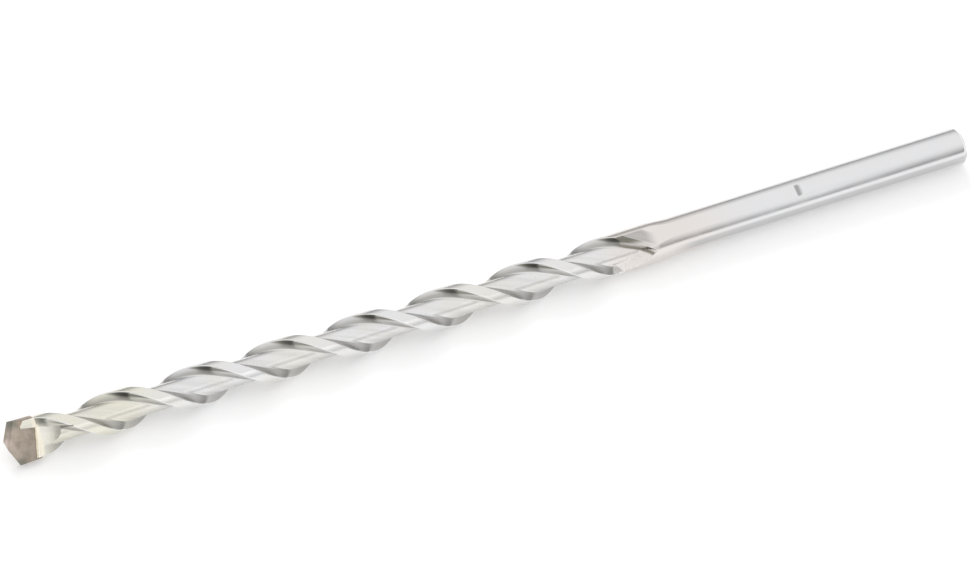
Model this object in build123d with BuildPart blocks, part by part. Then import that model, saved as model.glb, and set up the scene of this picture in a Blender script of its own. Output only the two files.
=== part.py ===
from build123d import *
import math
import os

# Carbide-tipped masonry drill bit for concrete-screw pilot holes, lying on its side.
# The axis runs along X, with the carbide point at -X and the chuck end at +X. Z is up and the floor is z = 0.
# The origin is on the floor under the middle of the bit. Stations are distances along the axis behind the point.

os.makedirs("parts", exist_ok=True)

# Driving dimensions, in millimetres and degrees
overall_length = 114.3

# Carbide plate
cutting_diameter = 5.0
back_taper = 0.1
plate_thickness = 1.15
plate_length = 3.5
point_angle = 130
lip_relief = 20

# Fluted stem: two right-hand lands on a round core. The wheel that grinds a flute stops and leaves its own
# shape as the run-out.
side_clearance = 0.22
core_diameter = 2.7
flute_lead = 19.43
land_angle = 34
flank_angle = 20
root_fillet = 0.3
lands_meet_plate = 3.7
wheel_stop = 71.5
wheel_radius = 9
wheel_depth = 0.8
wheel_tilt = 31

# Steel nose: its slot, and the gullet ground in front of each cutting lip
braze_gap = 0.08
nose_setback = 1.9
nose_chamfer = 0.45
gullet_end = 3.25
gullet_radius = 5.5
gullet_skew = 11
cheek_width = 0.5

# Round shank, with one long shallow flat that starts in the flutes. Both are placed from where the wheel stops.
shank_diameter = 4.2
shank_past_wheel = 7.3
shank_blend = 2.0
shank_end_chamfer = 0.45
flat_depth = 0.16
flat_past_wheel = 0.5
flat_length = 22
flat_cutter_radius = 2.5
flat_from_plate = 60

# How far a cutting shape reaches past the steel that it cuts
past_surface = 0.5

# Sizes that follow from the driving dimensions
cutting_radius = cutting_diameter / 2
land_radius = cutting_radius - side_clearance
core_radius = core_diameter / 2
shank_radius = shank_diameter / 2
shank_start = wheel_stop + shank_past_wheel
flat_start = wheel_stop + flat_past_wheel
flat_end = flat_start + flat_length
half_plate = plate_thickness / 2
half_slot = half_plate + braze_gap
slot_end = plate_length + braze_gap
clear_of_bit = 2 * max(cutting_radius, shank_radius)

# The bit rests on its lands, rolled until one corner of the carbide meets the floor beside them
corner_angle = math.degrees(math.asin(half_plate / cutting_radius))
plate_roll = math.degrees(math.asin(land_radius / cutting_radius)) - corner_angle
axis_height = land_radius
tip_x = -overall_length / 2
bit_axis = Axis((tip_x, 0, axis_height), (1, 0, 0))


def across(angle):
    """Direction square to the axis, at an angle from +Y towards +Z."""
    return Vector(0, math.cos(math.radians(angle)), math.sin(math.radians(angle)))


def on_axis(station):
    """Point of the axis at a station."""
    return Vector(tip_x + station, 0, axis_height)


def cross_plane(station):
    """Plane square to the axis at a station, its x along the wide side of the plate."""
    return Plane(origin=on_axis(station), x_dir=across(plate_roll), z_dir=(1, 0, 0))


def long_plane(angle, skew=0, station=0):
    """Plane through the axis with its y at an angle from +Y and its x along the bit, or skewed from it about y."""
    turn = math.radians(skew)
    lengthwise = Vector(math.cos(turn), 0, 0) + across(angle + 90) * math.sin(turn)
    return Plane(origin=on_axis(station), x_dir=lengthwise, z_dir=lengthwise.cross(across(angle)))


def polar(radius, angle):
    """Point of a cross section at a radius and an angle."""
    return Vector(radius * math.cos(math.radians(angle)), radius * math.sin(math.radians(angle)))


# Carbide plate: a roof point of two relieved lips, its ends ground round with a slight back taper
plate_plane = long_plane(plate_roll)
lip_fall = 1 / math.tan(math.radians(point_angle / 2))
relief_fall = math.tan(math.radians(lip_relief))

with BuildPart() as carbide_insert:
    with BuildSketch(plate_plane):
        with Locations((plate_length / 2, 0)):
            Rectangle(plate_length, cutting_diameter)
    extrude(amount=half_plate, both=True)
    with BuildSketch(plate_plane):
        with BuildLine():
            Polyline(
                (0, 0),
                (0, cutting_radius),
                (plate_length, cutting_radius - back_taper),
                (plate_length, 0),
                close=True,
            )
        make_face()
    revolve(axis=bit_axis, mode=Mode.INTERSECT)
    for side in (1, -1):
        leading_face = across(plate_roll + 90) * -side
        lip_plane = Plane(
            origin=on_axis(-half_plate * relief_fall) + leading_face * half_plate,
            z_dir=Vector(1, 0, 0) - across(plate_roll) * side * lip_fall + leading_face * relief_fall,
        )
        split(bisect_by=lip_plane, keep=Keep.TOP)
carbide_insert.part.label = "carbide_insert"
export_step(carbide_insert.part, "parts/carbide_insert.step")

# One flute between two lands: a round floor on the core and two flanks, open to the outside
land_edge = polar(land_radius, land_angle / 2)
flank_root = polar(core_radius, land_angle / 2 + flank_angle)
flank_top = land_edge + (land_edge - flank_root).normalized() * past_surface

with BuildSketch(cross_plane(lands_meet_plate)) as flute_section:
    with BuildLine():
        right_flank = Line(flank_root, flank_top)
        left_flank = Line((-flank_root.X, flank_root.Y), (-flank_top.X, flank_top.Y))
        ThreePointArc(right_flank @ 0, (0, core_radius), left_flank @ 0)
        ThreePointArc(right_flank @ 1, (0, flank_top.length), left_flank @ 1)
    make_face()
    fillet(flute_section.vertices().sort_by_distance(on_axis(lands_meet_plate))[:2], root_fillet)

# The flute twists with the lead and runs straight beside the plate. Where the wheel stops it lies along the
# flute, so beyond its middle it cuts only as far as its own rim reaches.
twist_length = wheel_stop + clear_of_bit - lands_meet_plate
flute_middle = plate_roll + 90 + 360 * (wheel_stop - lands_meet_plate) / flute_lead
wheel_plane = long_plane(flute_middle, wheel_tilt, wheel_stop)

with BuildLine() as stem_line:
    Line(on_axis(lands_meet_plate), on_axis(lands_meet_plate + twist_length))
with BuildLine() as twist_guide:
    Helix(flute_lead, twist_length, core_radius, center=on_axis(lands_meet_plate), direction=(1, 0, 0))

with BuildPart() as flute:
    sweep(flute_section.sketch, path=stem_line.line, binormal=twist_guide.edge())
    extrude(flute_section.sketch, amount=-lands_meet_plate)
    with BuildSketch(wheel_plane):
        with BuildLine():
            rim = JernArc((0, wheel_depth), (1, 0), wheel_radius, 90)
            Polyline(
                rim @ 1,
                (wheel_radius + clear_of_bit, wheel_depth + wheel_radius),
                (wheel_radius + clear_of_bit, -clear_of_bit),
                (0, -clear_of_bit),
                rim @ 0,
            )
        make_face()
    extrude(amount=clear_of_bit, both=True, mode=Mode.SUBTRACT)

# Steel blank: a bevelled nose, the land diameter as far as the flutes, and the round shank
with BuildPart() as drill_body:
    with BuildSketch(plate_plane):
        with BuildLine():
            Polyline(
                (nose_setback, 0),
                (nose_setback, land_radius - nose_chamfer),
                (nose_setback + nose_chamfer, land_radius),
                (shank_start - shank_blend, land_radius),
                (shank_start, shank_radius),
                (overall_length - shank_end_chamfer, shank_radius),
                (overall_length, shank_radius - shank_end_chamfer),
                (overall_length, 0),
                close=True,
            )
        make_face()
    revolve(axis=bit_axis)
    add(flute, mode=Mode.SUBTRACT)
    add(flute.part.rotate(bit_axis, 180), mode=Mode.SUBTRACT)

    # A gullet on each side bares the carbide face that leads a lip, and leaves a cheek behind the other lip
    cheek_wall = land_radius - cheek_width
    for side in (1, -1):
        gullet_plane = long_plane(plate_roll + 90 * side, gullet_skew)
        with BuildSketch(gullet_plane.offset(-cheek_wall)):
            with BuildLine():
                floor = JernArc((gullet_end, half_slot), (1, 0), gullet_radius, 90)
                Polyline(
                    floor @ 1,
                    (0, half_slot + gullet_radius),
                    (0, half_plate),
                    (gullet_end, half_plate),
                    floor @ 0,
                )
            make_face()
        extrude(amount=clear_of_bit, mode=Mode.SUBTRACT)

    # The shallow flat along the shank, its far end left round by the cutter
    flat_height = shank_radius - flat_depth
    with BuildSketch(long_plane(plate_roll + flat_from_plate)):
        with BuildLine():
            cutter_end = JernArc((flat_end, flat_height), (1, 0), flat_cutter_radius, 90)
            Polyline(
                cutter_end @ 1,
                (flat_start, flat_height + flat_cutter_radius),
                (flat_start, flat_height),
                cutter_end @ 0,
            )
        make_face()
    extrude(amount=clear_of_bit, both=True, mode=Mode.SUBTRACT)

# Silver braze fills the slot all round the plate, wherever steel backs it
with BuildPart() as braze_seam:
    with BuildSketch(plate_plane):
        with Locations((slot_end / 2, 0)):
            Rectangle(slot_end, 2 * clear_of_bit)
    extrude(amount=half_slot, both=True)
    add(drill_body, mode=Mode.INTERSECT)
    add(carbide_insert, mode=Mode.SUBTRACT)
braze_seam.part.label = "braze_seam"
export_step(braze_seam.part, "parts/braze_seam.step")

with drill_body:
    with BuildSketch(plate_plane):
        with Locations((slot_end / 2, 0)):
            Rectangle(slot_end, 2 * clear_of_bit)
    extrude(amount=half_slot, both=True, mode=Mode.SUBTRACT)
drill_body.part.label = "drill_body"
export_step(drill_body.part, "parts/drill_body.step")
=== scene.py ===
import math
import bpy
from mathutils import Matrix, Vector


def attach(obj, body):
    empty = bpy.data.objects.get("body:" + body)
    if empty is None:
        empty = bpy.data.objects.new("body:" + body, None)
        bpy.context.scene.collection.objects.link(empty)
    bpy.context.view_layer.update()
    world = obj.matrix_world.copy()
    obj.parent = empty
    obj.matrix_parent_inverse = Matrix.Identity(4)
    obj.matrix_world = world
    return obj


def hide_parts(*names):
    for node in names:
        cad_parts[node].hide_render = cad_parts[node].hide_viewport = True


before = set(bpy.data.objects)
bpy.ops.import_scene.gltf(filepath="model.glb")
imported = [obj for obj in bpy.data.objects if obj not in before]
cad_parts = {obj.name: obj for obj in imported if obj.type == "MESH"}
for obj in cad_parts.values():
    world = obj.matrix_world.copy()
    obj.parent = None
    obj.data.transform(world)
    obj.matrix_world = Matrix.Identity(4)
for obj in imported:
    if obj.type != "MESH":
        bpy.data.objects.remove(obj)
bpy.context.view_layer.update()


# Steel body: one tool-steel rod, ground with two right-hand flutes, slotted for the plate and nickel plated.
# The flutes run out on the radius of the grinding wheel, and the shank behind them has one shallow flat.
# It is drawn in millimetres in the frame's own place, and set to metres when it is finished.
overall_length = 114.3
tip_x = -overall_length / 2
land_radius = 2.28
core_radius = 1.35
shank_radius = 2.1
half_land_angle = math.radians(17)
flute_root_angle = math.radians(37)
flute_lead = 19.43
flute_start = 3.7
wheel_stop = 71.5
wheel_radius = 9
wheel_depth = 0.8
wheel_tilt = math.radians(31)
shank_start = 78.8
shank_blend = 2.0
nose_setback = 1.9
nose_chamfer = 0.45
cutting_radius = 2.5
half_plate = 0.575
half_slot = 0.655
slot_end = 3.58
plate_roll = math.asin(land_radius / cutting_radius) - math.asin(half_plate / cutting_radius)
axis_height = land_radius
twist_rate = 2 * math.pi / flute_lead


def select_nothing():
    bpy.ops.object.select_all(action="DESELECT")


def make_active(piece):
    select_nothing()
    piece.select_set(True)
    bpy.context.view_layer.objects.active = piece


def apply_modifier(piece, kind, name, **settings):
    make_active(piece)
    step = piece.modifiers.new(name, kind)
    for key, value in settings.items():
        setattr(step, key, value)
    bpy.ops.object.modifier_apply(modifier=step.name)


def cut(piece, tool, operation="DIFFERENCE"):
    apply_modifier(piece, "BOOLEAN", operation.lower(), object=tool, operation=operation, solver="EXACT")
    bpy.data.objects.remove(tool)


def set_to_metres(piece):
    """The finished piece in metres, its object at the origin, unturned and unscaled."""
    make_active(piece)
    bpy.ops.object.transform_apply(location=True, rotation=True, scale=True)
    piece.scale = (0.001, 0.001, 0.001)
    bpy.ops.object.transform_apply(location=False, rotation=False, scale=True)


def across(angle):
    """Direction square to the axis, at an angle from +Y towards +Z."""
    return Vector((0, math.cos(angle), math.sin(angle)))


def cutting_table(angle, skew=0):
    """Where a cutting tool is set up: x along the bit from its point, y away from the axis at an angle."""
    lengthwise = Vector((math.cos(skew), 0, 0)) + across(angle + math.pi / 2) * math.sin(skew)
    outward = across(angle)
    table = Matrix((lengthwise, outward, lengthwise.cross(outward))).transposed().to_4x4()
    return Matrix.Translation((tip_x, 0, axis_height)) @ table


def rounded_corner(start, corner, end, count):
    """Points inside a soft corner, between its start and its end."""
    steps = [index / (count + 1) for index in range(1, count + 1)]
    return [start * (1 - t) ** 2 + corner * 2 * t * (1 - t) + end * t ** 2 for t in steps]


def polar(radius, angle):
    return Vector((radius * math.cos(angle), radius * math.sin(angle)))


def flute_section():
    """Outline round the bit, first the quarter from the middle of a land to the middle of a flute."""
    land_edge = polar(land_radius, half_land_angle)
    foot = polar(core_radius, flute_root_angle)
    inward = (foot - land_edge).normalized()
    edge_softening = 0.07
    root_softening = 0.15
    land_end = half_land_angle - edge_softening / land_radius
    quarter = [polar(land_radius, land_end * step / 4) for step in range(5)]
    edge_end = land_edge + inward * edge_softening
    quarter += rounded_corner(quarter[-1], land_edge, edge_end, 4)
    flank_end = foot - inward * root_softening
    quarter += [edge_end.lerp(flank_end, step / 5) for step in range(6)]
    floor_start = flute_root_angle + root_softening / core_radius
    quarter += rounded_corner(flank_end, foot, polar(core_radius, floor_start), 4)
    floor_steps = [floor_start + (math.pi / 2 - floor_start) * step / 11 for step in range(12)]
    quarter += [polar(core_radius, angle) for angle in floor_steps]
    half = quarter + [Vector((-point.x, point.y)) for point in reversed(quarter[:-1])]
    return half + [-point for point in half[1:-1]]


def twist_up(outline, start, end, row_length):
    """An outline drawn along the bit between two stations, with the twist of the flutes."""
    select_nothing()
    bpy.ops.mesh.primitive_circle_add(vertices=len(outline), radius=land_radius)
    piece = bpy.context.object
    for vertex, point in zip(piece.data.vertices, outline):
        vertex.co = (0, point.x, point.y)
    rows = round((end - start) / row_length)
    apply_modifier(
        piece, "SCREW", "twist", axis="X", angle=twist_rate * (end - start), screw_offset=end - start,
        steps=rows, render_steps=rows, use_merge_vertices=False,
    )
    piece.location = (tip_x + start, 0, axis_height)
    piece.rotation_euler = (plate_roll + twist_rate * (start - flute_start), 0, 0)
    make_active(piece)
    bpy.ops.object.transform_apply(location=True, rotation=True)
    return piece


def blocked(radius, angle, past_stop):
    """Whether the stopped wheel leaves the steel at a place, its angle taken from the wheel's middle."""
    along = past_stop * math.cos(wheel_tilt) + radius * math.sin(angle) * math.sin(wheel_tilt)
    if along <= 0:
        return False
    if along >= wheel_radius:
        return True
    rim_height = wheel_depth + wheel_radius - math.sqrt(wheel_radius ** 2 - along ** 2)
    return radius * math.cos(angle) < rim_height


def run_out(piece):
    """Beyond the wheel's last place, fills each flute out to where the rim of the wheel has passed."""
    for vertex in piece.data.vertices:
        past_stop = vertex.co.x - tip_x - wheel_stop
        height = vertex.co.z - axis_height
        inner = math.hypot(vertex.co.y, height)
        turned = plate_roll + twist_rate * (vertex.co.x - tip_x - flute_start)
        from_flute = (math.atan2(height, vertex.co.y) - turned) % math.pi - math.pi / 2
        angle = from_flute + twist_rate * past_stop
        if not blocked(inner, angle, past_stop):
            continue
        reach = [inner, land_radius]
        for halving in range(16):
            middle = sum(reach) / 2
            reach[0 if blocked(middle, angle, past_stop) else 1] = middle
        vertex.co.y *= reach[1] / inner
        vertex.co.z = axis_height + height * reach[1] / inner


def draw_out(piece, from_station, turned_rings):
    """Extrudes an end face to each station in turn, and turns it down to a radius."""
    for station, radius in turned_rings:
        make_active(piece)
        bpy.ops.object.mode_set(mode="EDIT")
        bpy.ops.mesh.select_mode(type="FACE")
        bpy.ops.mesh.select_all(action="DESELECT")
        bpy.ops.object.mode_set(mode="OBJECT")
        for face in piece.data.polygons:
            stations = [piece.data.vertices[corner].co.x - tip_x for corner in face.vertices]
            face.select = all(abs(place - from_station) < 0.001 for place in stations)
        bpy.ops.object.mode_set(mode="EDIT")
        bpy.ops.mesh.extrude_region_move(TRANSFORM_OT_translate={"value": (station - from_station, 0, 0)})
        bpy.ops.object.mode_set(mode="OBJECT")
        for vertex in piece.data.vertices:
            if abs(vertex.co.x - tip_x - station) < 0.001:
                size = math.hypot(vertex.co.y, vertex.co.z - axis_height)
                vertex.co.y *= min(radius, size) / size
                vertex.co.z = axis_height + (vertex.co.z - axis_height) * min(radius, size) / size
        from_station = station


# The stem twists in long rows, and in fine ones where the wheel has stopped
blend_start = shank_start - shank_blend
fine_from = wheel_stop - 0.2
drill_body = twist_up(flute_section(), flute_start, fine_from, 0.2)
drill_body.name = "drill_body_ground"
last_turns = twist_up(flute_section(), fine_from, blend_start, 0.05)
run_out(last_turns)
make_active(drill_body)
last_turns.select_set(True)
bpy.ops.object.join()
bpy.ops.object.mode_set(mode="EDIT")
bpy.ops.mesh.select_all(action="SELECT")
bpy.ops.mesh.remove_doubles(threshold=0.001)
bpy.ops.mesh.fill_holes(sides=0)
bpy.ops.mesh.normals_make_consistent(inside=False)
bpy.ops.object.mode_set(mode="OBJECT")

# The bevelled nose, then the shank with a chamfer at its end, whose corners are a little worn
bevelled_nose = [(nose_setback + nose_chamfer, land_radius), (nose_setback, land_radius - nose_chamfer)]
draw_out(drill_body, flute_start, bevelled_nose)
past_flat = 96.5
chamfered_end = [
    (113.76, shank_radius), (113.81, 2.093), (113.85, 2.075), (114.24, 1.685), (114.28, 1.655),
    (overall_length, 1.6),
]
draw_out(drill_body, blend_start, [(shank_start, shank_radius), (past_flat, shank_radius), *chamfered_end])


def grinding_wheel(table, wheel, centre, start, floor_drop, width, width_middle):
    """A wheel whose rim leaves a round end, drawn out straight to where its cut begins."""
    select_nothing()
    bpy.ops.mesh.primitive_cylinder_add(
        vertices=192, radius=wheel, depth=width, location=(0, 0, width_middle)
    )
    tool = bpy.context.object
    bpy.ops.object.transform_apply(location=True)
    for vertex in tool.data.vertices:
        if vertex.co.x < -0.001:
            vertex.co.x = start - centre.x
            vertex.co.y = wheel if vertex.co.y > 0 else -wheel - floor_drop
        vertex.co.x += centre.x
        vertex.co.y += centre.y
    make_active(tool)
    bpy.ops.object.mode_set(mode="EDIT")
    bpy.ops.mesh.select_all(action="SELECT")
    bpy.ops.mesh.remove_doubles(threshold=0.0001)
    bpy.ops.mesh.normals_make_consistent(inside=False)
    bpy.ops.object.mode_set(mode="OBJECT")
    tool.matrix_world = table
    return tool


# Gullets: each wheel reaches just into the slot's place, so that no skin of steel is left there
gullet_radius = 5.5
gullet_skew = math.radians(11)
gullet_end = 3.25
gullet_width = 5
cheek_wall = land_radius - 0.5
into_slot = 0.004
gullet_centre = Vector((gullet_end, half_slot - into_slot + gullet_radius))
for side in (1, -1):
    gullet_table = cutting_table(plate_roll + side * math.pi / 2, gullet_skew)
    cut(drill_body, grinding_wheel(
        gullet_table, gullet_radius, gullet_centre, start=-1, floor_drop=0.3,
        width=gullet_width, width_middle=gullet_width / 2 - cheek_wall,
    ))

flat_start = 72
flat_end = 94
flat_wheel = 2.5
flat_height = shank_radius - 0.16
flat_table = cutting_table(plate_roll + math.radians(60))
cut(drill_body, grinding_wheel(
    flat_table, flat_wheel, Vector((flat_end, flat_height + flat_wheel)), start=flat_start, floor_drop=0,
    width=12, width_middle=0,
))


def saw_blank(table, low, high):
    """A straight block between two corners on the cutting table."""
    select_nothing()
    middle = (low + high) / 2
    bpy.ops.mesh.primitive_cube_add(size=1, location=middle)
    block = bpy.context.object
    block.scale = high - low
    bpy.ops.object.transform_apply(location=True, scale=True)
    block.matrix_world = table
    return block


# The slot, sawn right across the nose
plate_table = cutting_table(plate_roll)
cut(drill_body, saw_blank(plate_table, Vector((-1, -6, -half_slot)), Vector((slot_end, 6, half_slot))))
set_to_metres(drill_body)
make_active(drill_body)
bpy.ops.object.shade_smooth_by_angle(angle=math.radians(20))


def place(tree, kind, settings=None, inputs=None):
    """Adds a node, sets it up, and joins each named input to an output or gives it a value."""
    node = tree.nodes.new("ShaderNode" + kind)
    for name, value in (settings or {}).items():
        setattr(node, name, value)
    for name, value in (inputs or {}).items():
        if isinstance(value, bpy.types.NodeSocket):
            tree.links.new(value, node.inputs[name])
        else:
            node.inputs[name].default_value = value
    return node


def calculate(tree, operation, *values):
    return place(tree, "Math", {"operation": operation}, dict(enumerate(values))).outputs[0]


def fade(tree, value, start, end, low=0.0, high=1.0):
    """A soft step from low to high while a value goes from start to end."""
    inputs = {"Value": value, "From Min": start, "From Max": end, "To Min": low, "To Max": high}
    return place(tree, "MapRange", {"interpolation_type": "SMOOTHSTEP"}, inputs).outputs["Result"]


def overlap(tree, first, *others):
    """The product of masks and strengths."""
    for mask in others:
        first = calculate(tree, "MULTIPLY", first, mask)
    return first


def mix_colours(tree, amount, first, second):
    mixer = place(tree, "Mix", {"data_type": "RGBA"}, {"Factor": amount})
    for socket, colour in ((mixer.inputs[6], first), (mixer.inputs[7], second)):
        if isinstance(colour, bpy.types.NodeSocket):
            tree.links.new(colour, socket)
        else:
            socket.default_value = (*colour, 1)
    return mixer.outputs[2]


def stations_to_colours(tree, station, stops):
    """Colours that follow one another along the bit, each at its station."""
    ramp = place(tree, "ValToRGB", {}, {"Fac": calculate(tree, "DIVIDE", station, overall_length)})
    while len(ramp.color_ramp.elements) < len(stops):
        ramp.color_ramp.elements.new(1)
    for element, (stop, colour) in zip(ramp.color_ramp.elements, stops):
        element.position = stop / overall_length
        element.color = (*colour, 1)
    return ramp.outputs["Color"]


def start_group(name, inputs, outputs):
    group = bpy.data.node_groups.new(name, "ShaderNodeTree")
    for socket, kind in inputs:
        group.interface.new_socket(socket, in_out="INPUT", socket_type="NodeSocket" + kind)
    for socket, kind in outputs:
        group.interface.new_socket(socket, in_out="OUTPUT", socket_type="NodeSocket" + kind)
    return group, group.nodes.new("NodeGroupInput").outputs


def finish_group(group, results):
    end = group.nodes.new("NodeGroupOutput")
    for name, result in results.items():
        group.links.new(result, end.inputs[name])


# Where a point lies on the bit, in millimetres: its station, its distance from the axis, and its place in a
# section that stays straight or turns with the flutes
bit_place, given = start_group(
    "place_on_the_bit", [("Place", "Vector")],
    [("Station", "Float"), ("Radius", "Float"), ("Turned", "Vector"), ("Straight", "Vector")],
)
shift = {0: given["Place"], 1: (1000, 1000, 1000), 2: (-tip_x, 0, -axis_height)}
straight = place(bit_place, "VectorMath", {"operation": "MULTIPLY_ADD"}, shift).outputs[0]
coordinates = place(bit_place, "SeparateXYZ", {}, {0: straight}).outputs
off_axis = place(bit_place, "VectorMath", {"operation": "MULTIPLY"}, {0: straight, 1: (0, 1, 1)}).outputs[0]
from_axis = place(bit_place, "VectorMath", {"operation": "LENGTH"}, {0: off_axis}).outputs["Value"]
twisted_station = calculate(bit_place, "MAXIMUM", coordinates["X"], flute_start)
untwist = twist_rate * flute_start - plate_roll
turn = calculate(bit_place, "MULTIPLY_ADD", twisted_station, -twist_rate, untwist)
turned = place(
    bit_place, "VectorRotate", {"rotation_type": "X_AXIS"}, {"Vector": straight, "Angle": turn}
).outputs[0]
finish_group(bit_place, {
    "Station": coordinates["X"], "Radius": from_axis, "Turned": turned, "Straight": straight
})

# Fine marks of a wheel: noise drawn out along the way that the wheel went
wheel_marks, given = start_group(
    "wheel_marks", [("Place", "Vector"), ("Waves per mm", "Vector")],
    [("Height", "Float"), ("Streaks", "Float")],
)
stretched = place(
    wheel_marks, "VectorMath", {"operation": "MULTIPLY"}, {0: given["Place"], 1: given["Waves per mm"]}
).outputs[0]
fine = place(
    wheel_marks, "TexNoise", {}, {"Vector": stretched, "Scale": 1.0, "Detail": 2.0, "Roughness": 0.5}
)
broad = place(wheel_marks, "TexNoise", {}, {"Vector": stretched, "Scale": 0.31, "Detail": 2.0})
finish_group(wheel_marks, {
    "Height": fine.outputs["Fac"],
    "Streaks": fade(wheel_marks, broad.outputs["Fac"], 0.4, 0.66),
})

# Patches of dull or stained surface, with soft borders and small specks
stain, given = start_group(
    "stain", [("Place", "Vector"), ("Patches per mm", "Float"), ("Specks per mm", "Float")],
    [("Patches", "Float"), ("Specks", "Float")],
)
cloud = place(stain, "TexNoise", {}, {
    "Vector": given["Place"], "Scale": given["Patches per mm"], "Detail": 5.0, "Roughness": 0.6
})
dots = place(stain, "TexNoise", {}, {
    "Vector": given["Place"], "Scale": given["Specks per mm"], "Detail": 3.0
})
finish_group(stain, {
    "Patches": fade(stain, cloud.outputs["Fac"], 0.38, 0.68),
    "Specks": fade(stain, dots.outputs["Fac"], 0.62, 0.74),
})


def start_material(piece, name):
    """A new material on a piece, with the place of each point on the bit."""
    material = bpy.data.materials.new(name)
    material.use_nodes = True
    piece.data.materials.clear()
    piece.data.materials.append(material)
    tree = material.node_tree
    on_object = place(tree, "TexCoord").outputs["Object"]
    where = place(tree, "Group", {"node_tree": bit_place}, {"Place": on_object})
    return tree, where.outputs, tree.nodes["Principled BSDF"]


def stains(tree, where, patches, specks):
    """Patches and specks, each with how many there are to a millimetre."""
    inputs = {"Place": where["Straight"], "Patches per mm": patches, "Specks per mm": specks}
    return place(tree, "Group", {"node_tree": stain}, inputs).outputs


def ground_marks(tree, where, section, waves):
    """Marks of grinding in the straight or the turned section, with their waves per millimetre each way."""
    inputs = {"Place": where[section], "Waves per mm": waves}
    return place(tree, "Group", {"node_tree": wheel_marks}, inputs).outputs


def raise_surface(tree, height, depth):
    """The normal of a surface with a fine relief, its depth in millimetres."""
    settings = {"Height": height, "Strength": 1.0, "Distance": depth / 1000}
    return place(tree, "Bump", {}, settings).outputs["Normal"]


# Bright nickel on ground steel. Each mask says where on the bit a finish or a painted shade lies.
tree, where, shader = start_material(drill_body, "nickel_plated_steel")
station = where["Station"]
radius = where["Radius"]
turned_parts = place(tree, "SeparateXYZ", {}, {0: where["Turned"]}).outputs
straight_parts = place(tree, "SeparateXYZ", {}, {0: where["Straight"]}).outputs
off_middle = calculate(tree, "ABSOLUTE", turned_parts["Z"])
from_land = calculate(tree, "ARCTAN2", off_middle, calculate(tree, "ABSOLUTE", turned_parts["Y"]))
in_stem = fade(tree, station, 77, 75.5)
in_flute = overlap(tree, fade(tree, radius, 2.0, 1.5), in_stem)
spots = stains(tree, where, 0.35, 6.0)
around_marks = ground_marks(tree, where, "Straight", (7, 0.6, 0.6))
flute_marks = ground_marks(tree, where, "Turned", (0.25, 6, 6))

# A tint along the bit: straw from the brazing heat at the nose, and a blush where the flutes run out
nickel = (0.78, 0.78, 0.79)
straw = (0.79, 0.77, 0.665)
pale_straw = (0.79, 0.775, 0.73)
blush = (0.79, 0.745, 0.72)
tint = stations_to_colours(tree, station, [
    (0, straw), (14, straw), (20, nickel), (29, nickel), (34, pale_straw), (38, nickel), (51, nickel),
    (56, pale_straw), (61, nickel), (69, nickel), (73, blush), (80, blush), (88, nickel),
])
stained = (0.79, 0.765, 0.715)
colour = mix_colours(tree, overlap(tree, spots["Patches"], 0.6, in_stem), tint, stained)

# Duller streaks along the floor of the flutes
dull_nickel = (0.60, 0.59, 0.56)
colour = mix_colours(tree, overlap(tree, flute_marks["Streaks"], 0.35, in_flute), colour, dull_nickel)

# Flanks: painted shade, darkest on the flank that faces the point where it is highest and at its root, greyer
# on the other flank
off_land = fade(tree, radius, land_radius - 0.01, land_radius - 0.08)
off_floor = fade(tree, radius, core_radius + 0.01, core_radius + 0.1)
beside_land = fade(tree, from_land, flute_root_angle + 0.17, flute_root_angle + 0.03)
behind_nose = fade(tree, station, gullet_end + 0.5, gullet_end + 3)
on_flank = overlap(tree, off_floor, off_land, beside_land, in_stem, behind_nose)
at_root = fade(tree, radius, land_radius - 0.2, core_radius + 0.2, 0.25, 0.75)
painted_shade_high = fade(tree, straight_parts["Z"], land_radius * 0.64, land_radius * 0.84)
facing_point = fade(tree, overlap(tree, turned_parts["Y"], turned_parts["Z"]), -0.2, 0.2)
leading = overlap(tree, calculate(tree, "MAXIMUM", at_root, painted_shade_high), facing_point)
trailing = calculate(tree, "MULTIPLY_ADD", facing_point, -0.8, 0.8)
streaky = calculate(tree, "MULTIPLY_ADD", flute_marks["Streaks"], 0.12, 0.88)
painted_flank_shade = overlap(tree, streaky, calculate(tree, "MAXIMUM", leading, trailing))
leading_shade_colour = mix_colours(tree, painted_shade_high, (0.3, 0.295, 0.27), (0.2, 0.195, 0.165))
trailing_shade_colour = (0.4, 0.39, 0.375)
flank_shade_colour = mix_colours(tree, facing_point, trailing_shade_colour, leading_shade_colour)
colour = mix_colours(tree, overlap(tree, on_flank, painted_flank_shade), colour, flank_shade_colour)

# A narrow line of painted shadow that ends the last flank, in the run-out
line_near_land = fade(tree, from_land, math.radians(24), math.radians(32))
line_near_floor = fade(tree, from_land, math.radians(44), math.radians(36))
past_stop = fade(tree, station, wheel_stop + 0.5, wheel_stop + 2)
before_shank = fade(tree, station, wheel_stop + 6, wheel_stop + 5)
last_edge_shadow = overlap(
    tree, line_near_land, line_near_floor, past_stop, off_land, facing_point, before_shank
)
painted_shadow_colour = (0.22, 0.2, 0.165)
colour = mix_colours(tree, overlap(tree, last_edge_shadow, 0.9), colour, painted_shadow_colour)

# Braze that has flowed on to the steel behind the plate
near_seam = fade(tree, off_middle, half_slot + 0.32, half_slot + 0.12)
near_slot_end = fade(tree, station, slot_end + 0.5, slot_end + 0.25)
behind_cheeks = fade(tree, station, slot_end - 0.4, slot_end - 0.2)
pale_braze = (0.9, 0.84, 0.7)
beside_seam = overlap(tree, near_seam, near_slot_end, behind_cheeks)
colour = mix_colours(tree, overlap(tree, beside_seam, 0.8), colour, pale_braze)

# Painted shade on the step that the cutter leaves at the far end of the flat
under_round = fade(tree, radius, shank_radius - 0.004, shank_radius - 0.09)
step_start = fade(tree, station, flat_end - 0.3, flat_end - 0.05)
step_end = fade(tree, station, flat_end + 0.6, flat_end + 0.1)
step_shade = overlap(tree, under_round, step_start, step_end)
colour = mix_colours(tree, overlap(tree, step_shade, 0.75), colour, (0.25, 0.25, 0.25))
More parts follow.
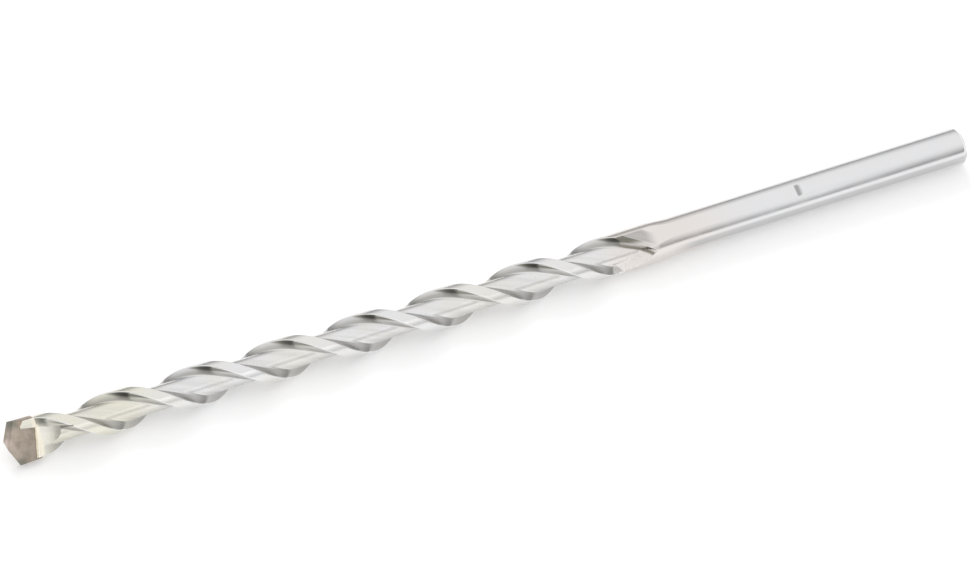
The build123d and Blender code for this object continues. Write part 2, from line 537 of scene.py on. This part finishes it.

# A band of painted shade along the front of the shank, as a dark reflection
on_shank = fade(tree, station, shank_start - 1, shank_start + 3)
front = fade(tree, straight_parts["Y"], -1.2, -1.8)
under_top = fade(tree, straight_parts["Z"], 0.62, 0.28)
over_bottom = fade(tree, straight_parts["Z"], -0.75, -0.4)
painted_front_band = overlap(tree, under_top, over_bottom, front, on_shank)
colour = mix_colours(tree, overlap(tree, painted_front_band, 0.75), colour, (0.5, 0.5, 0.5))

# Small specks on the stem, and bright worn edges along the lands
colour = mix_colours(tree, overlap(tree, spots["Specks"], 0.3, in_stem), colour, (0.5, 0.48, 0.45))
land_edge_width = land_radius * math.sin(half_land_angle)
near_edge = fade(tree, off_middle, land_edge_width - 0.12, land_edge_width - 0.03)
near_top = fade(tree, radius, land_radius - 0.16, land_radius - 0.08)
before_stop = fade(tree, station, wheel_stop + 1.5, wheel_stop)
worn_edge = overlap(tree, near_edge, near_top, before_stop)
polished = (0.9, 0.9, 0.89)
colour = mix_colours(tree, overlap(tree, worn_edge, 0.7), colour, polished)
tree.links.new(colour, shader.inputs["Base Color"])

rough = calculate(tree, "MULTIPLY_ADD", in_flute, 0.07, 0.19)
rough = calculate(tree, "MULTIPLY_ADD", spots["Patches"], 0.06, rough)
rough = calculate(tree, "MULTIPLY_ADD", worn_edge, -0.1, rough)
tree.links.new(rough, shader.inputs["Roughness"])
marks = place(tree, "Mix", {}, {
    "Factor": in_flute, "A": around_marks["Height"], "B": flute_marks["Height"]
}).outputs[0]
relief = fade(tree, station, 75, 79, 1, 0.3)
tree.links.new(raise_surface(tree, overlap(tree, marks, relief), 0.003), shader.inputs["Normal"])
shader.inputs["Metallic"].default_value = 1
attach(drill_body, "root")
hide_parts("drill_body")


# Carbide plate: a sintered tungsten carbide roof point, ground with two relieved lips.
# It is brazed into the slot, and its ends stand a little proud of the lands, so that the bit cuts its own
# clearance.
plate_length = 3.5
back_taper = 0.1
lip_fall = 1 / math.tan(math.radians(65))
relief_fall = math.tan(math.radians(20))
select_nothing()
carbide_plate = saw_blank(
    plate_table,
    Vector((0, -cutting_radius, -half_plate)),
    Vector((plate_length, cutting_radius, half_plate)),
)
carbide_plate.name = "carbide_plate"
make_active(carbide_plate)
bpy.ops.object.transform_apply(location=True, rotation=True)
for side in (1, -1):
    leading_face = across(plate_roll + math.pi / 2) * -side
    on_lip = Vector((tip_x - half_plate * relief_fall, 0, axis_height)) + leading_face * half_plate
    lip_normal = Vector((1, 0, 0)) - across(plate_roll) * side * lip_fall + leading_face * relief_fall
    bpy.ops.object.mode_set(mode="EDIT")
    bpy.ops.mesh.select_all(action="SELECT")
    bpy.ops.mesh.bisect(
        plane_co=on_lip, plane_no=lip_normal, use_fill=True, clear_inner=True, clear_outer=False,
        threshold=0.00001,
    )
    bpy.ops.object.mode_set(mode="OBJECT")

# The ends are ground round, with a slight taper to the back
select_nothing()
bpy.ops.mesh.primitive_cone_add(
    vertices=360, radius1=cutting_radius, radius2=cutting_radius - back_taper, depth=plate_length,
    location=(tip_x + plate_length / 2, 0, axis_height), rotation=(0, math.pi / 2, 0),
)
cut(carbide_plate, bpy.context.object, "INTERSECT")
apply_modifier(
    carbide_plate, "BEVEL", "worn edges", width=0.02, segments=2, limit_method="ANGLE",
    angle_limit=math.radians(25),
)
set_to_metres(carbide_plate)
make_active(carbide_plate)
bpy.ops.object.shade_smooth_by_angle(angle=math.radians(25))

# Brown from the brazing heat, rubbed paler at the point, with painted shade at the outer corners
tree, where, shader = start_material(carbide_plate, "brazed_carbide")
station = where["Station"]
radius = where["Radius"]
grain = stains(tree, where, 1.1, 14.0)
lip_marks = ground_marks(tree, where, "Turned", (1.2, 1.2, 9))
carbide_brown = (0.47, 0.4, 0.335)
dark_brown = (0.37, 0.31, 0.255)
colour = mix_colours(tree, grain["Patches"], carbide_brown, dark_brown)
near_point = overlap(tree, fade(tree, radius, 1.1, 0.3), fade(tree, station, 1.2, 0.4))
colour = mix_colours(tree, overlap(tree, near_point, 0.85), colour, (0.68, 0.57, 0.51))
painted_corner_shade = overlap(tree, fade(tree, radius, 1.5, 2.2), fade(tree, station, 2.0, 1.3))
colour = mix_colours(tree, overlap(tree, painted_corner_shade, 0.75), colour, (0.2, 0.21, 0.17))
colour = mix_colours(tree, overlap(tree, grain["Specks"], 0.35), colour, (0.6, 0.56, 0.5))
tree.links.new(colour, shader.inputs["Base Color"])
rough = calculate(tree, "MULTIPLY_ADD", grain["Patches"], 0.12, 0.34)
rough = calculate(tree, "MULTIPLY_ADD", lip_marks["Streaks"], 0.06, rough)
tree.links.new(rough, shader.inputs["Roughness"])
tree.links.new(raise_surface(tree, lip_marks["Height"], 0.004), shader.inputs["Normal"])
shader.inputs["Metallic"].default_value = 0.75
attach(carbide_plate, "root")
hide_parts("carbide_insert")


# Braze seam: a film of silver braze, melted into the slot all round the plate.
# The frame's own seam is kept, and it has the pale gold of the alloy with a slight crust of flux.
braze_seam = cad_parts["braze_seam"]
tree, where, shader = start_material(braze_seam, "silver_braze")
flux = stains(tree, where, 1.6, 9.0)
colour = mix_colours(tree, flux["Patches"], (0.8, 0.73, 0.56), (0.7, 0.62, 0.48))
colour = mix_colours(tree, overlap(tree, flux["Specks"], 0.5), colour, (0.35, 0.31, 0.25))
tree.links.new(colour, shader.inputs["Base Color"])
rough = calculate(tree, "MULTIPLY_ADD", flux["Patches"], 0.2, 0.28)
tree.links.new(rough, shader.inputs["Roughness"])
tree.links.new(raise_surface(tree, flux["Patches"], 0.01), shader.inputs["Normal"])
shader.inputs["Metallic"].default_value = 1


# Studio: a plain pale floor under a soft studio sky, with a black card in front of the point and a white
# card beyond the shank. A broad lamp in front fills the side that the camera sees, and one behind gives the
# shadow. The floor is white to the camera and to reflections, and keeps the shadow.
select_nothing()
bpy.ops.mesh.primitive_plane_add(size=8, location=(0, 0, -0.00002))
floor = bpy.context.object
floor.name = "studio_floor"
floor_finish = bpy.data.materials.new("pale_floor")
floor_finish.use_nodes = True
tree = floor_finish.node_tree
tree.nodes.clear()
paint = place(tree, "BsdfDiffuse", {}, {"Color": (0.74, 0.74, 0.74, 1)})
light_path = place(tree, "LightPath").outputs
seen = calculate(tree, "MAXIMUM", light_path["Is Camera Ray"], light_path["Is Glossy Ray"])
seen = calculate(tree, "MAXIMUM", seen, light_path["Is Transmission Ray"])
lift_to_white = calculate(tree, "MULTIPLY", seen, 0.34)
glow = place(tree, "Emission", {}, {"Color": (1, 1, 1, 1), "Strength": lift_to_white})
both = place(tree, "AddShader", {}, {0: paint.outputs[0], 1: glow.outputs[0]})
place(tree, "OutputMaterial", {}, {"Surface": both.outputs[0]})
floor.data.materials.append(floor_finish)

world = bpy.data.worlds.new("studio_sky")
bpy.context.scene.world = world
world.use_nodes = True
tree = world.node_tree
tree.nodes.clear()
direction = place(tree, "TexCoord").outputs["Generated"]
height = place(tree, "SeparateXYZ", {}, {0: direction}).outputs["Z"]
brightness = fade(tree, height, -0.05, 0.8, 0.28, 1.0)


def studio_card(sky_brightness, azimuth, elevation, edge, middle, strength):
    """Multiplies the sky round one direction, wholly within the middle angle and not at all past the edge."""
    azimuth = math.radians(azimuth)
    elevation = math.radians(elevation)
    card = (*polar(math.cos(elevation), azimuth), math.sin(elevation))
    closeness = place(
        tree, "VectorMath", {"operation": "DOT_PRODUCT"}, {0: direction, 1: card}
    ).outputs["Value"]
    share = fade(
        tree, closeness, math.cos(math.radians(edge)), math.cos(math.radians(middle)), 1, strength
    )
    return calculate(tree, "MULTIPLY", sky_brightness, share)


brightness = studio_card(brightness, azimuth=-130, elevation=5, edge=44, middle=20, strength=0.5)
brightness = studio_card(brightness, azimuth=-12, elevation=0, edge=42, middle=22, strength=1.3)
sky = place(tree, "Background", {}, {"Color": (1, 1, 1, 1), "Strength": brightness})
place(tree, "OutputWorld", {}, {"Surface": sky.outputs[0]})


def softbox(name, location, width, height, power, mirrored=True):
    """A flat lamp that shines at the middle of the bit."""
    light = bpy.data.lights.new(name, "AREA")
    light.shape = "RECTANGLE"
    light.size = width
    light.size_y = height
    light.energy = power
    lamp = bpy.data.objects.new(name, light)
    bpy.context.collection.objects.link(lamp)
    lamp.location = location
    lamp.rotation_euler = (-lamp.location).to_track_quat("-Z", "Y").to_euler()
    lamp.visible_glossy = mirrored


# The lamp behind is kept out of mirror images, because the metal in the photograph shows none there
softbox("softbox_front", (-0.1, -1.0, 0.35), width=1.0, height=0.8, power=1.2)
softbox("softbox_behind", (0.12, 0.8, 0.75), width=0.4, height=0.4, power=2.5, mirrored=False)


# Camera: a long lens, close to the photograph's own flat view of the bit from above its side.
camera_data = bpy.data.cameras.new("camera")
camera = bpy.data.objects.new("camera", camera_data)
bpy.context.collection.objects.link(camera)
bpy.context.scene.camera = camera
azimuth = math.radians(-24.2)
elevation = math.radians(44.5)
level_back = Vector((math.sin(azimuth), -math.cos(azimuth), 0))
back = level_back * math.cos(elevation) + Vector((0, 0, math.sin(elevation)))
right = Vector((math.cos(azimuth), math.sin(azimuth), 0))
up = back.cross(right)
aim = Vector((0, 0, axis_height / 1000)) + right * 0.00016 + up * 0.00001
camera_distance = 1.5
frame_width = 0.10699
camera.location = aim + back * camera_distance
camera.rotation_euler = (-back).to_track_quat("-Z", "Y").to_euler()
camera_data.sensor_width = 36
camera_data.lens = camera_data.sensor_width * camera_distance / frame_width
camera_data.clip_start = 0.05
camera_data.clip_end = 30

bpy.context.scene.view_settings.view_transform = "Standard"
